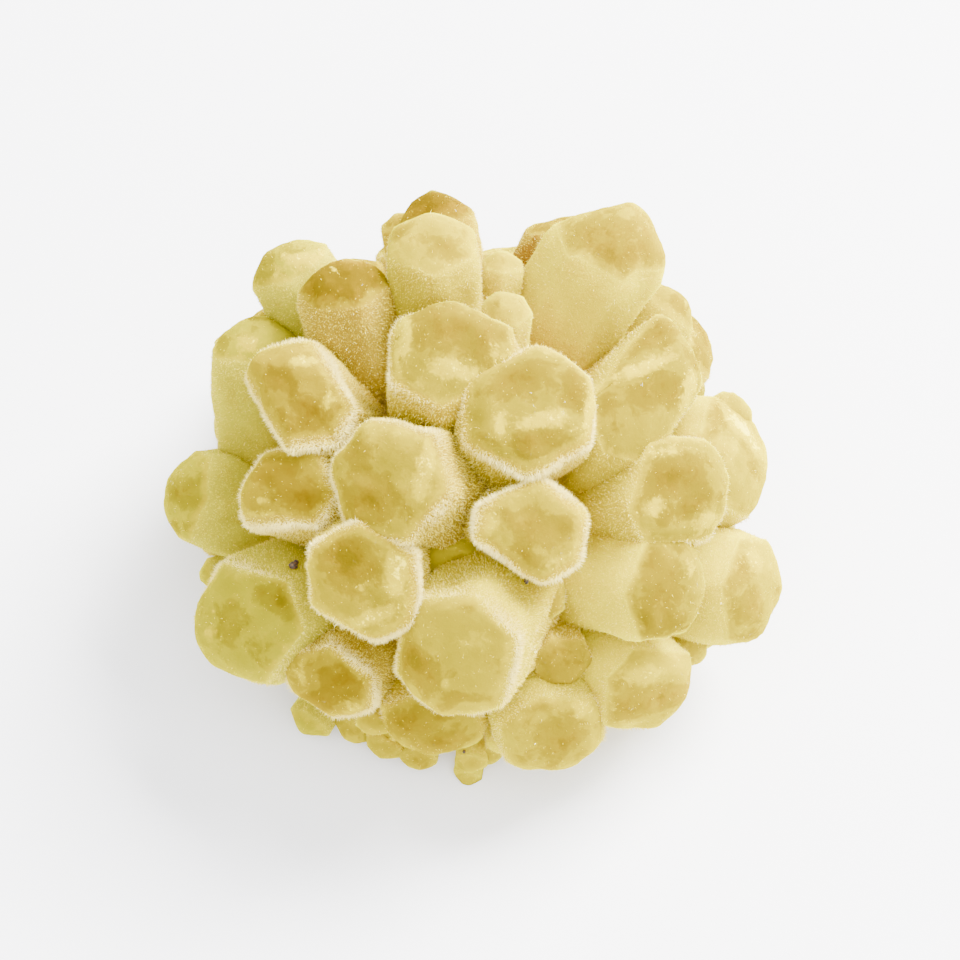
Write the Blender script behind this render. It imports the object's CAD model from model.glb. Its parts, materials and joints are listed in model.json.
"""Phantom quartz cluster: the dressed model.

Stout yellow crystals radiate from one root. Their ends are bare and glassy, their sides wear a velvet of
fine quartz needles, and the velvet stands up as a frosty rim round many of the ends.

Lengths are in millimetres and angles in degrees until a mesh is made. The crystals of the show side are
laid out as someone who faces that side sees them: right, up, and out towards the viewer, all from the heart
that the crystals radiate from. The others are laid out by bearing and rise.
"""

from __future__ import annotations

import json
import logging
import math
import random
from dataclasses import dataclass, field
from enum import Enum
from typing import Iterator

import bmesh
import bpy
import numpy as np
from mathutils import Matrix, Vector, noise
from mathutils.bvhtree import BVHTree

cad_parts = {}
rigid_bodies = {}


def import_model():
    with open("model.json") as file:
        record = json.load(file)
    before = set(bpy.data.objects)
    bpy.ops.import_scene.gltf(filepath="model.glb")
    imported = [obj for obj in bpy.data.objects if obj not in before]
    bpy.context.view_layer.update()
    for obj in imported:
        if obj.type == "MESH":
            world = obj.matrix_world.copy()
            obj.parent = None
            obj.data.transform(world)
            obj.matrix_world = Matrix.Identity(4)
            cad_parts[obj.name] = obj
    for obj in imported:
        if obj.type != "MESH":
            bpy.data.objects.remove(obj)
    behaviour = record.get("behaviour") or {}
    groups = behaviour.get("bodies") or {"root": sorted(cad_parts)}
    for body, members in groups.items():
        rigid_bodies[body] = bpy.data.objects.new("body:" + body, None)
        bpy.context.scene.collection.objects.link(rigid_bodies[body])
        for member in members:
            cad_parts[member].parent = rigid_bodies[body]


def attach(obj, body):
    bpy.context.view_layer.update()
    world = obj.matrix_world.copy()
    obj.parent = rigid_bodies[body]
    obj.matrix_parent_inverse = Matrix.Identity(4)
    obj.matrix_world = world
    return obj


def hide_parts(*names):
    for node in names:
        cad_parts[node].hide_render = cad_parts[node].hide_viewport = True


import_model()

LOG = logging.getLogger("quartz_cluster")
MM = 0.001
NODE = "crystal_cluster"
BODY = "root"

Colour = tuple[float, float, float]
Pair = tuple[float, float]
Triple = tuple[float, float, float]
Six = tuple[float, float, float, float, float, float]
Spot = tuple[float, ...]

HEART_HEIGHT = 12.0  # above the ground
HEART = np.array((0.0, 0.0, HEART_HEIGHT))
SHOW_RISE = 60.0  # how far above level the show side faces
VIEWER = 305.0  # how far from the heart its viewer stands
FACE_SLOPE = 42.0  # of the faces round most ends, from the plane across the axis
BODY_SHARE = 0.82  # a crystal's length, as a share of the way from its end to the heart
ROOT_RADII = (33.0, 33.0, 30.0)
ROOT_LUMP, ROOT_INSET = 1.6, 0.35  # how uneven the root is, and how far its druse lies in from there
LOOK_SEED, SKIRT_SEED, ROOT_SEED, NEEDLE_SEED = 11, 3, 5, 7


class Tint(Enum):
    """The colour of the quartz inside a crystal, in linear light."""

    LEMON = (0.254, 0.194, 0.0)
    CITRON = (0.210, 0.160, 0.0)
    STRAW = (0.300, 0.232, 0.0)
    GREENISH = (0.250, 0.214, 0.0)
    HONEY = (0.218, 0.156, 0.0)
    AMBER = (0.190, 0.130, 0.0)


class Body(Enum):
    """The colour of a crystal's sides, in linear light, as seen through their druse."""

    CREAM = (0.54, 0.445, 0.0)
    STRAW = (0.39, 0.312, 0.0)
    GREENISH = (0.35, 0.306, 0.008)
    GOLD = (0.345, 0.245, 0.0)
    TAN = (0.285, 0.197, 0.008)


class Mark(Enum):
    """What a patch of a crystal shows."""

    CORE = 0  # the deeper yellow of a phantom inside
    VEIL = 1  # milky quartz
    STAIN = 2  # brown iron stain


@dataclass(frozen=True)
class Patch:
    """A soft-edged patch on a crystal, as someone who faces the show side sees it.

    mark: what it shows.
    right, up: its middle, from the middle of the crystal's end.
    wide, high: how far it reaches.
    turn: how far it is turned from right towards up.
    strength: how much of it shows, from 0 to about 1.
    """

    mark: Mark
    right: float
    up: float
    wide: float
    high: float
    turn: float = 0.0
    strength: float = 1.0

    def over(self, right: np.ndarray, up: np.ndarray) -> np.ndarray:
        """Gives how strongly the patch shows at places to the right and up."""
        turn = math.radians(self.turn)
        x, y = right - self.right, up - self.up
        along = (x * math.cos(turn) + y * math.sin(turn)) / self.wide
        across = (y * math.cos(turn) - x * math.sin(turn)) / self.high
        return self.strength * np.exp(-0.5 * (along**2 + across**2))


@dataclass(frozen=True)
class Crystal:
    """A six-sided crystal with a flat or pointed end.

    at: the middle of its end, as (right, up, out) from the heart.
    points: (turn, tip): the way it points, turned from right towards up, and tipped away from out.
    sides: how far its six sides lie from its axis, the first facing roll, and then each 60 further round.
    roll: the way the first side faces, turned from right towards up.
    cap: how far the end rises above the shoulders; if 0, the six faces round it head for the peak.
    lean: (angle, turn): how far the end face leans off the axis, and towards which way.
    slope: of the six faces round the end, from the plane across the axis.
    peak: how far above the end those faces meet, where cap is 0.
    """

    at: Triple
    points: Pair
    sides: Six
    roll: float = 0.0
    cap: float = 2.0
    lean: Pair = (0.0, 0.0)
    slope: float = FACE_SLOPE
    peak: float = 0.0


@dataclass(frozen=True)
class Look:
    """How one crystal is dressed.

    tint: the colour inside it.
    rim: how strongly the velvet stands up white round its end, from 0 to 1.
    milk: how much milky quartz veils its end, from 0 to 1.
    fuzz: how thick its needles stand, from 0 to 1.
    band: (turn, widening): where the white rim is broadest, turned from right towards up, and how much so.
    body: the colour of its sides.
    ease: how softly its faces meet.
    faced: whether its end is bare, and not lost under the coat.
    cores, veils, stains: the patches of each kind on its end, as (right, up, wide, high, turn, strength),
        where the last two may be left out.
    """

    tint: Tint = Tint.LEMON
    rim: float = 0.3
    milk: float = 0.5
    fuzz: float = 0.7
    band: Pair = (0.0, 0.0)
    body: Body = Body.STRAW
    ease: float = 0.4
    faced: bool = True
    cores: tuple[Spot, ...] = ()
    veils: tuple[Spot, ...] = ()
    stains: tuple[Spot, ...] = ()

    @property
    def patches(self) -> Iterator[Patch]:
        """The patches of every kind."""
        kinds = {Mark.CORE: self.cores, Mark.VEIL: self.veils, Mark.STAIN: self.stains}
        return (Patch(mark, *spot) for mark, spots in kinds.items() for spot in spots)


SHOW_SIDE: dict[str, Crystal] = {
    "middle": Crystal((6.5, -3.7, 43.0), (-30, 8), (7.2, 6.2, 5.8, 7.2, 5.2, 7.2), -5, 1.2, (3, 90)),
    "over_middle": Crystal((6.6, 11.7, 43.0), (60, 16), (8.4, 8.6, 7.4, 8.4, 8.5, 8.0), 0, 2.0, (4, 60)),
    "summit": Crystal((-3.4, 20.0, 40.0), (95, 32), (8.4, 7.2, 7.9, 8.2, 8.6, 7.4), 0, 2.4, (14, 275)),
    "high_right": Crystal(
        (21.3, 37.2, 26.0), (58, 58), (8.4, 7.6, 6.2, 6.2, 7.4, 8.4), 195, 0, (19, 328), 52, 3.4
    ),
    "right_shoulder": Crystal(
        (22.8, 14.2, 33.0), (42, 40), (5.4, 10.9, 14.5, 6.2, 9.6, 9.8), -38, 2.2, (20, 230)
    ),
    "right": Crystal((26.8, 1.6, 34.0), (8, 38), (9.0, 6.9, 7.2, 9.4, 7.2, 8.4), 30, 2.2, (10, 188)),
    "far_right": Crystal((36.9, 6.4, 20.0), (14, 58), (7.6, 8.2, 8.6, 7.1, 8.4, 7.4), 20, 3.2, (8, 190)),
    "low_right": Crystal((39.0, -11.8, 20.0), (-8, 58), (7.8, 6.8, 7.4, 7.7, 8.2, 8.0), 10, 3.2, (6, 190)),
    "right_of_middle": Crystal(
        (25.6, -11.4, 34.0), (-12, 46), (7.0, 6.8, 7.2, 7.4, 7.0, 7.6), 22, 2.4, (8, 172)
    ),
    "front_right": Crystal(
        (23.4, -26.0, 24.0), (-38, 50), (8.3, 6.4, 8.6, 7.4, 6.6, 8.2), 0, 2.2, (12, 145)
    ),
    "front": Crystal((10.4, -31.8, 26.0), (-70, 45), (7.1, 7.0, 7.6, 7.2, 7.5, 8.0), 15, 2.2, (8, 110)),
    "under_middle": Crystal(
        (-3.2, -19.8, 40.0), (-130, 36), (8.8, 8.2, 8.0, 10.2, 9.2, 7.7), 45, 2.0, (8, 50)
    ),
    "front_left": Crystal(
        (-6.6, -31.8, 24.0), (-102, 52), (7.2, 6.8, 6.6, 7.2, 6.8, 6.6), 10, 3.0, (8, 75)
    ),
    "low_left": Crystal((-19.7, -24.4, 28.0), (-125, 42), (6.6, 6.1, 5.8, 6.8, 5.8, 5.8), 0, 1.4, (12, 55)),
    "left_foot": Crystal(
        (-31.8, -17.0, 27.0), (-158, 46), (9.8, 8.6, 8.5, 11.7, 8.6, 7.8), 20, 2.2, (20, 22)
    ),
    "left_of_middle": Crystal(
        (-14.4, -10.5, 41.0), (-118, 16), (7.2, 7.3, 7.6, 7.2, 6.4, 7.8), 0, 1.2, (3, 70)
    ),
    "left_brow": Crystal((-11.8, 2.6, 43.0), (170, 24), (8.2, 7.4, 7.8, 7.5, 7.4, 7.8), 15, 1.8, (6, 350)),
    "left": Crystal((-25.2, 1.8, 35.0), (158, 36), (7.4, 6.8, 5.4, 6.6, 7.4, 5.2), -30, 1.6, (16, 330)),
    "left_blade": Crystal(
        (-22.8, 14.2, 35.0), (142, 34), (5.0, 8.0, 10.4, 6.2, 8.0, 8.2), 32, 1.8, (16, 320)
    ),
    "far_left_high": Crystal(
        (-29.4, 24.9, 20.0), (94, 62), (6.2, 6.2, 6.8, 7.1, 6.2, 6.2), 20, 4.6, (6, 290)
    ),
    "back_left": Crystal((-26.3, 33.9, 20.0), (118, 64), (5.6, 5.4, 5.6, 6.2, 5.4, 5.6), 0, 3.1, (12, 350)),
    "high_left": Crystal((-17.9, 30.3, 29.0), (98, 54), (6.0, 5.8, 5.6, 6.0, 6.0, 6.0), 40, 3.4, (10, 280)),
    "back": Crystal((-6.2, 42.2, 18.0), (97, 66), (5.4, 5.2, 5.2, 5.4, 5.2, 5.0), 5, 0, (0, 0), 42, 0.4),
    "high_back": Crystal((-5.6, 34.8, 30.0), (95, 50), (5.4, 5.8, 6.4, 6.6, 6.0, 6.0), 0, 2.2, (22, 275)),
    "back_right": Crystal((15.4, 38.5, 14.0), (72, 72), (4.8, 5.4, 6.6, 8.2, 6.2, 5.6), 0, 2.4, (27, 192)),
    "behind_shoulder": Crystal((27.4, 28.4, 14.0), (48, 72), (4.8, 4.4, 4.6, 4.6, 4.4, 4.8), 0, 2.6),
    "far_left": Crystal((-42.2, 1.2, 16.0), (168, 66), (7.2, 6.6, 6.8, 7.2, 6.6, 6.8), 0, 3.4, (6, 345)),
}

NUBS: dict[str, Crystal] = {
    "nub_back_left": Crystal((-10.7, 38.8, 16.0), (100, 66), (3.0, 2.8, 3.1, 2.9, 3.0, 2.8), 5, 1.8),
    "nub_back": Crystal((3.4, 32.8, 22.0), (85, 60), (2.8, 2.6, 2.9, 2.7, 2.8, 2.7), 10, 1.8),
    "nub_under_summit": Crystal((3.8, 25.4, 33.0), (85, 38), (3.0, 2.8, 3.1, 2.9, 3.0, 3.1), 25, 1.6),
    "nub_in_pit": Crystal((8.2, -12.8, 32.5), (-60, 15), (3.4, 3.2, 3.5, 3.3, 3.1, 3.4), 0, 1.4),
    "nub_below_pit": Crystal((11.4, -21.6, 29.5), (-60, 30), (3.8, 3.6, 4.0, 3.7, 3.8, 3.6), 20, 1.6),
    "nub_left_cleft": Crystal((-3.6, -9.0, 32.5), (-100, 15), (5.0, 4.8, 5.2, 5.1, 4.7, 5.0), 12, 1.6),
    "nub_low_left": Crystal((-14.6, -30.8, 20.0), (-115, 50), (2.6, 2.4, 2.7, 2.5, 2.6, 2.4), 0, 1.4),
    "nub_foot_left": Crystal((-39.2, -10.9, 5.0), (-170, 75), (2.4, 2.2, 2.5, 2.3, 2.4, 2.2), 0, 1.6),
    "nub_toe_left": Crystal((-24.2, -32.0, 10.0), (-125, 62), (3.0, 2.8, 3.1, 2.9, 3.0, 2.8), 10, 1.6),
    "nub_toe_left_2": Crystal((-17.6, -33.0, 10.0), (-115, 62), (2.9, 3.0, 2.8, 3.1, 2.9, 3.0), 30, 1.6),
    "nub_toe": Crystal((-1.1, -37.2, 12.0), (-95, 58), (2.3, 2.1, 2.4, 2.2, 2.3, 2.1), 0, 1.4),
    "nub_toe_2": Crystal((2.0, -36.2, 11.0), (-80, 60), (2.2, 2.3, 2.1, 2.4, 2.2, 2.0), 20, 1.4),
    "nub_toe_3": Crystal((-1.6, -39.4, 9.4), (-100, 66), (1.9, 1.8, 2.0, 1.9, 1.8, 1.9), 20, 1.2),
    "nub_far_right": Crystal((36.0, 12.6, 18.5), (30, 58), (3.0, 2.8, 3.1, 2.9, 3.0, 3.1), 0, 1.6),
    "nub_heel_left": Crystal((-13.4, -35.0, 12.0), (-115, 60), (2.8, 2.6, 2.9, 2.7, 2.8, 2.6), 0, 1.4),
    "nub_heel": Crystal((-8.6, -36.6, 12.0), (-100, 60), (2.6, 2.8, 2.5, 2.7, 2.6, 2.8), 20, 1.4),
    "nub_toe_right": Crystal((30.6, -21.4, 12.0), (-35, 62), (3.0, 2.8, 3.1, 2.9, 3.0, 3.1), 0, 1.6),
    "nub_toe_right_2": Crystal((34.0, -18.8, 11.0), (-28, 66), (2.6, 2.4, 2.7, 2.5, 2.6, 2.4), 15, 1.6),
}

BEHIND: tuple[tuple[float, float, float, float], ...] = (
    (27, 30, 39.8, 6.4),
    (54, 31, 41.0, 6.8),
    (79, 29, 36.5, 6.0),
    (103, 31, 41.0, 7.0),
    (127, 30, 38.5, 6.4),
    (151, 29, 41.0, 6.8),
    (4, 8, 40.5, 6.6),
    (30, 5, 37.5, 6.2),
    (56, 8, 41.0, 6.8),
    (82, 4, 39.0, 6.4),
    (108, 8, 41.0, 6.8),
    (133, 5, 42.0, 6.6),
    (158, 8, 40.0, 6.4),
    (184, 5, 41.0, 6.6),
    (209, 8, 38.0, 5.6),
    (233, 4, 36.0, 5.2),
    (257, 7, 35.0, 5.4),
    (281, 4, 35.5, 5.2),
    (305, 8, 36.0, 5.4),
    (331, 5, 38.0, 5.8),
)
BACK_UPTURN = 6.0
SKIRT: tuple[tuple[float, float, float, int, int], ...] = (
    (-5.0, 37.0, 2.7, 3, 13),
    (-16.0, 36.0, 2.4, 9, 12),
)


def nub_look(tint: Tint, body: Body, milk: float, fuzz: float, rim: float) -> Look:
    """Gives the look of a small crystal, whose faces meet crisply."""
    return Look(tint, rim=rim, milk=milk, fuzz=fuzz, body=body, ease=0.15)


LOOKS: dict[str, Look] = {
    "middle": Look(
        Tint.LEMON, rim=0.8, milk=0.3, fuzz=1.0, band=(150, 0.3), body=Body.GOLD,
        cores=((0.9, 0.4, 3.2, 1.6, 10, 0.9), (-1.3, -2.7, 1.7, 1.0, -30, 0.7)),
        veils=((-4.8, 1.2, 1.0, 1.2, 0, 0.8), (3.6, -3.7, 1.7, 0.7, 30, 0.6)),
    ),
    "over_middle": Look(
        Tint.CITRON, rim=0.25, milk=0.35, fuzz=0.9, band=(-80, 0.7), body=Body.GOLD, ease=0.6,
        cores=((-1.6, 3.3, 2.5, 1.5, 20), (1.6, -4.9, 3.4, 1.1), (5.6, 1.2, 1.1, 2.5, 0, 0.9)),
        veils=((2.0, -1.9, 3.2, 1.0, 10, 0.9), (7.2, -1.3, 0.9, 2.9, 0, 0.9), (-3.9, -2.5, 1.0, 2.2, 0, 0.6)),
    ),
    "summit": Look(
        Tint.CITRON, rim=0.1, milk=0.3, fuzz=0.65, band=(200, 0.5), body=Body.GOLD, ease=0.8,
        cores=((0.2, 0.9, 4.7, 2.5, -10),),
        veils=((-6.0, 1.7, 1.1, 3.2, 10), (0.5, -4.1, 3.0, 1.0, -10), (6.1, -1.6, 1.5, 1.7, 40, 0.7)),
    ),
    "high_right": Look(
        Tint.STRAW, rim=0.0, milk=0.7, fuzz=0.2, body=Body.CREAM, ease=0.7,
        cores=((-3.2, -4.6, 5.6, 3.6, -15), (2.6, -5.0, 0.8, 1.8, 10, 0.9), (-4.3, -3.2, 1.3, 0.8, 0, 0.8)),
        veils=((-0.6, -2.2, 1.0, 1.0, 0, 0.6),),
    ),
    "right_shoulder": Look(
        Tint.CITRON, rim=0.0, milk=0.25, fuzz=0.3, band=(-60, 0.2), body=Body.STRAW, ease=0.9,
        cores=((-0.9, 6.5, 3.6, 1.1, 25), (-0.2, -0.4, 3.1, 1.7, 20), (5.8, 5.6, 1.1, 2.0, 0, 0.9)),
        veils=((-1.1, 2.9, 3.8, 0.9, 25, 0.9), (4.2, 0.1, 1.1, 2.6, -20, 0.9)),
    ),
    "right": Look(
        Tint.CITRON, rim=0.15, milk=0.4, fuzz=0.7, band=(-60, 0.5), body=Body.STRAW, ease=0.6,
        cores=((-2.7, 1.2, 3.0, 2.0, 20), (0.1, -2.2, 2.8, 1.0, 20, 0.9)),
        veils=((-4.7, -2.2, 1.3, 1.5, 0, 0.8), (2.2, -4.4, 1.8, 1.0, 30, 0.9), (-2.7, 4.6, 3.0, 0.6, 0, 0.8)),
    ),
    "far_right": Look(
        Tint.STRAW, rim=0.0, milk=0.8, fuzz=0.3, band=(-60, 0.4), body=Body.CREAM, ease=0.9,
        cores=((-5.6, 6.3, 2.1, 1.6), (-0.8, 1.6, 1.1, 1.3, 0, 0.6)),
        veils=((-1.6, 3.2, 0.9, 4.0, 35, 1.6), (-3.9, 0.3, 1.9, 2.1, 0, 0.7)),
    ),
    "low_right": Look(
        Tint.STRAW, rim=0.0, milk=0.5, fuzz=0.3, band=(20, 0.2), body=Body.CREAM, ease=0.9,
        cores=((-6.1, 2.2, 2.9, 1.7, 20), (-2.4, -2.1, 1.3, 2.1, 10, 0.7)),
        veils=((-2.4, 3.8, 1.2, 1.9, 20), (-7.2, -2.4, 1.6, 1.6, 0, 0.6)),
    ),
    "right_of_middle": Look(
        Tint.CITRON, rim=0.0, milk=0.4, fuzz=0.3, body=Body.CREAM, ease=0.5,
        cores=((-2.2, -1.3, 2.3, 3.8, 0, 0.9), (-4.3, 4.3, 1.1, 1.5)),
        veils=((1.1, 2.5, 1.1, 2.0, 0, 0.6),),
    ),
    "front_right": Look(
        Tint.STRAW, rim=0.1, milk=0.6, fuzz=0.5, band=(-60, 0.3), body=Body.CREAM, ease=0.7,
        cores=((0.6, -0.2, 3.7, 1.1, 10), (-4.4, -0.9, 1.3, 1.6, 0, 0.9)),
        veils=((-1.8, 3.3, 2.4, 1.2, 0, 0.9), (-3.6, -3.5, 1.6, 0.8, 0, 0.7)),
    ),
    "front": Look(
        Tint.STRAW, rim=0.2, milk=0.5, fuzz=0.6, band=(-40, 0.5), body=Body.STRAW, ease=0.6,
        cores=((0.3, 0.7, 2.6, 2.0, 0, 0.9), (-3.2, 5.4, 1.8, 0.8, -10, 0.9)),
        veils=((3.2, 5.6, 1.2, 1.8), (-3.6, 1.1, 0.8, 1.8, 20, 0.5)),
    ),
    "under_middle": Look(
        Tint.STRAW, rim=0.45, milk=0.6, fuzz=0.9, band=(10, 0.2), body=Body.STRAW, ease=0.5,
        cores=((-4.8, -0.3, 1.3, 1.9, 20, 1.8), (-3.1, -2.3, 1.0, 0.6, -20), (0.3, -5.0, 3.0, 0.7, 5, 0.6)),
        veils=((-0.8, -3.1, 0.5, 0.5, 0, 1.2), (2.5, 2.4, 2.0, 1.2, 0, 0.7)),
    ),
    "front_left": Look(
        Tint.LEMON, rim=0.1, milk=0.2, fuzz=0.6, band=(170, 0.3), body=Body.GOLD, ease=0.7,
        cores=((-2.6, 2.6, 2.9, 1.6, -10, 1.0), (1.6, -0.1, 2.1, 1.2)),
        veils=((-6.0, 3.9, 0.8, 1.8, 20, 0.7),),
    ),
    "low_left": Look(
        Tint.HONEY, rim=0.6, milk=0.3, fuzz=1.0, band=(0, 0.3), body=Body.TAN, ease=0.5,
        cores=((2.0, 0.8, 1.9, 1.6), (-1.1, -1.6, 1.8, 1.0, 10, 0.8)),
        veils=((-3.4, 1.5, 0.9, 1.6, 20, 0.7), (3.3, -2.3, 1.3, 0.8, -30, 0.7)),
    ),
    "left_foot": Look(
        Tint.GREENISH, rim=0.2, milk=0.3, fuzz=0.6, band=(90, 0.6), body=Body.GREENISH, ease=1.1,
        cores=(
            (0.3, 1.9, 2.8, 1.8, -30, 0.6), (6.8, 4.0, 2.1, 1.2, -40, 1.1), (2.9, -1.2, 1.6, 2.4, 20, 0.4),
        ),
        veils=((-3.4, -0.2, 1.0, 1.3, 0, 0.6), (-2.9, 2.5, 0.5, 0.4, 0, 0.9)),
    ),
    "left_of_middle": Look(
        Tint.LEMON, rim=0.6, milk=0.4, fuzz=1.0, band=(-10, 0.6), body=Body.GOLD,
        cores=((-1.7, 3.4, 2.0, 2.2, 0, 1.8), (-2.1, -0.6, 1.7, 0.7, -20, 0.7)),
        veils=((4.5, 2.3, 1.1, 2.7, -5, 1.2), (1.3, -4.0, 2.7, 0.7, 20, 1.2), (0.4, 0.0, 1.5, 0.6, 30, 0.6)),
    ),
    "left_brow": Look(
        Tint.LEMON, rim=0.5, milk=0.3, fuzz=1.0, band=(190, 0.3), body=Body.TAN,
        cores=((-1.2, -2.2, 2.9, 2.2, 10), (-3.7, 3.5, 1.7, 1.0, -20, 0.7)),
        veils=((5.2, 1.1, 0.9, 3.2, -10),),
    ),
    "left": Look(
        Tint.HONEY, rim=0.65, milk=0.2, fuzz=0.9, band=(-95, 0.9), body=Body.TAN,
        cores=((-1.1, 1.7, 2.3, 1.3), (3.2, -1.8, 2.5, 1.6, -10, 1.1)),
        veils=((1.2, -4.6, 3.8, 0.6, -8, 1.2), (-2.1, -1.8, 1.5, 0.6, 0, 0.6)),
    ),
    "left_blade": Look(
        Tint.HONEY, rim=0.75, milk=0.3, fuzz=1.0, band=(-50, 0.3), body=Body.TAN,
        cores=((1.8, -3.1, 2.5, 1.1, -40, 1.2), (-1.5, 0.4, 2.0, 1.1, -45, 0.7)),
        veils=((0.9, 3.3, 1.5, 0.6), (4.1, -1.5, 0.6, 2.0, -35, 0.8)),
    ),
    "far_left_high": Look(
        Tint.GREENISH, rim=0.1, milk=0.6, fuzz=0.5, body=Body.GREENISH, ease=1.0,
        cores=((-1.6, 0.6, 3.5, 0.5, -6, 1.2), (-5.3, -2.9, 0.7, 1.9, 20, 0.9)),
        veils=((-1.1, -4.2, 1.9, 1.1, 0, 0.8),),
    ),
    "back_left": Look(
        Tint.GREENISH, rim=0.0, milk=0.6, fuzz=0.4, body=Body.GREENISH, ease=0.6,
        cores=((-2.3, -2.1, 1.5, 2.1, 20), (0.7, 0.2, 1.6, 0.8, -20, 0.7)),
        veils=((3.3, -2.1, 2.4, 1.2, 0, 0.9),),
    ),
    "high_left": Look(
        Tint.HONEY, rim=0.0, milk=0.1, fuzz=0.7, body=Body.TAN, ease=0.6,
        cores=((-0.3, -2.0, 5.0, 3.0, -5, 1.8), (3.7, -0.3, 1.6, 0.8, 20, 0.7)),
        veils=((-0.7, -0.5, 1.0, 0.5, -40),),
    ),
    "back": Look(
        Tint.AMBER, rim=0.0, milk=0.0, fuzz=0.4, body=Body.GOLD, ease=0.6,
        cores=((-0.3, -0.6, 5.0, 4.0, 0, 1.8),),
    ),
    "high_back": Look(
        Tint.STRAW, rim=0.05, milk=0.6, fuzz=0.5, body=Body.STRAW, ease=0.6,
        cores=((0.7, -1.3, 2.6, 2.1, 0, 0.5),),
        veils=((1.5, -5.9, 2.1, 0.6, 10),),
    ),
    "back_right": Look(
        Tint.HONEY, rim=0.0, milk=0.2, fuzz=0.5, body=Body.TAN, ease=0.9,
        cores=((-6.3, -0.6, 2.7, 1.0, 20), (-8.3, -4.4, 1.6, 2.5, 20)),
        stains=(
            (-8.7, -5.4, 1.0, 1.4, 10, 1.2), (-8.3, -8.6, 0.9, 1.3, 10, 1.2),
            (-7.9, -2.8, 0.4, 0.5, 0, 0.8),
        ),
    ),
    "behind_shoulder": Look(
        Tint.LEMON, rim=0.0, milk=0.4, fuzz=0.4, body=Body.STRAW, ease=0.6,
        cores=((0.2, -1.8, 1.1, 1.1, 0, 0.8),),
        veils=((0.7, -1.9, 0.4, 0.8, 0, 0.8),),
    ),
    "far_left": Look(
        Tint.GREENISH, rim=0.0, milk=0.6, fuzz=0.25, body=Body.GREENISH, ease=1.2,
        cores=((2.4, -0.1, 1.6, 1.6, 0, 0.9), (4.0, -5.0, 1.9, 1.2, -20, 0.7)),
        veils=((8.1, -7.7, 1.9, 1.6, 0, 0.5),),
    ),
    "nub_back_left": nub_look(Tint.AMBER, Body.GOLD, 0.2, 0.5, 0.0),
    "nub_back": nub_look(Tint.STRAW, Body.CREAM, 0.6, 0.6, 0.0),
    "nub_under_summit": nub_look(Tint.STRAW, Body.CREAM, 0.7, 0.6, 0.0),
    "nub_in_pit": nub_look(Tint.HONEY, Body.STRAW, 0.3, 0.8, 0.2),
    "nub_below_pit": nub_look(Tint.HONEY, Body.GOLD, 0.2, 0.5, 0.1),
    "nub_left_cleft": nub_look(Tint.STRAW, Body.CREAM, 0.3, 0.9, 0.2),
    "nub_low_left": nub_look(Tint.LEMON, Body.GOLD, 0.3, 0.5, 0.1),
    "nub_foot_left": nub_look(Tint.GREENISH, Body.GREENISH, 0.3, 0.3, 0.0),
    "nub_toe_left": nub_look(Tint.GREENISH, Body.GREENISH, 0.3, 0.4, 0.0),
    "nub_toe_left_2": nub_look(Tint.STRAW, Body.STRAW, 0.6, 0.4, 0.0),
    "nub_toe": nub_look(Tint.STRAW, Body.CREAM, 0.9, 0.3, 0.0),
    "nub_toe_2": nub_look(Tint.STRAW, Body.CREAM, 0.8, 0.3, 0.0),
    "nub_toe_3": nub_look(Tint.STRAW, Body.CREAM, 0.8, 0.3, 0.0),
    "nub_far_right": nub_look(Tint.LEMON, Body.STRAW, 0.4, 0.3, 0.0),
    "nub_heel_left": nub_look(Tint.LEMON, Body.GOLD, 0.3, 0.4, 0.0),
    "nub_heel": nub_look(Tint.LEMON, Body.STRAW, 0.3, 0.4, 0.0),
    "nub_toe_right": nub_look(Tint.STRAW, Body.STRAW, 0.8, 0.4, 0.0),
    "nub_toe_right_2": nub_look(Tint.STRAW, Body.CREAM, 0.5, 0.4, 0.0),
}
HIDDEN_COLOURS = (
    (Tint.LEMON, Body.STRAW),
    (Tint.STRAW, Body.CREAM),
    (Tint.GREENISH, Body.GREENISH),
    (Tint.LEMON, Body.CREAM),
    (Tint.HONEY, Body.GOLD),
)


def write_corners(mesh: bpy.types.Mesh, name: str, rows: np.ndarray) -> None:
    """Stores one vector for each corner of the mesh under a name."""
    layer = mesh.attributes.new(name, "FLOAT_VECTOR", "CORNER")
    layer.data.foreach_set("vector", rows.astype(np.float32).ravel())


def turned(angle: float, tip: float = 90.0) -> np.ndarray:
    """Gives a unit direction in (right, up, out).

    Args:
        angle: the turn from right towards up.
        tip: how far it is tipped away from out.

    Returns:
        The direction.
    """
    turn, away = math.radians(angle), math.radians(tip)
    return np.array((math.cos(turn) * math.sin(away), math.sin(turn) * math.sin(away), math.cos(away)))


def show_axes() -> np.ndarray:
    """Gives the matrix that turns (right, up, out) into the frame's axes."""
    rise = math.radians(SHOW_RISE)
    right = (1.0, 0.0, 0.0)
    up = (0.0, math.sin(rise), math.cos(rise))
    out = (0.0, -math.cos(rise), math.sin(rise))
    return np.array((right, up, out)).T


def bearing_direction(bearing: float, rise: float) -> np.ndarray:
    """Gives a unit direction in the frame from a bearing and a rise."""
    b, r = math.radians(bearing), math.radians(rise)
    return np.array((math.cos(b) * math.cos(r), math.sin(b) * math.cos(r), math.sin(r)))


def square_to(direction: np.ndarray, axis: np.ndarray) -> np.ndarray:
    """Gives the part of a direction that is square to the axis, as a unit vector."""
    rest = direction - direction.dot(axis) * axis
    return rest / np.linalg.norm(rest)


def blend_max(values: np.ndarray, radius: float) -> np.ndarray:
    """Gives the largest value in each column, eased where two are close.

    Args:
        values: one row for each plane, one column for each point.
        radius: how far apart two values may be and still ease into each other.

    Returns:
        One value for each point.
    """
    top = values.max(axis=0)
    return top + radius * np.log(np.exp((values - top) / radius).sum(axis=0))


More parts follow.
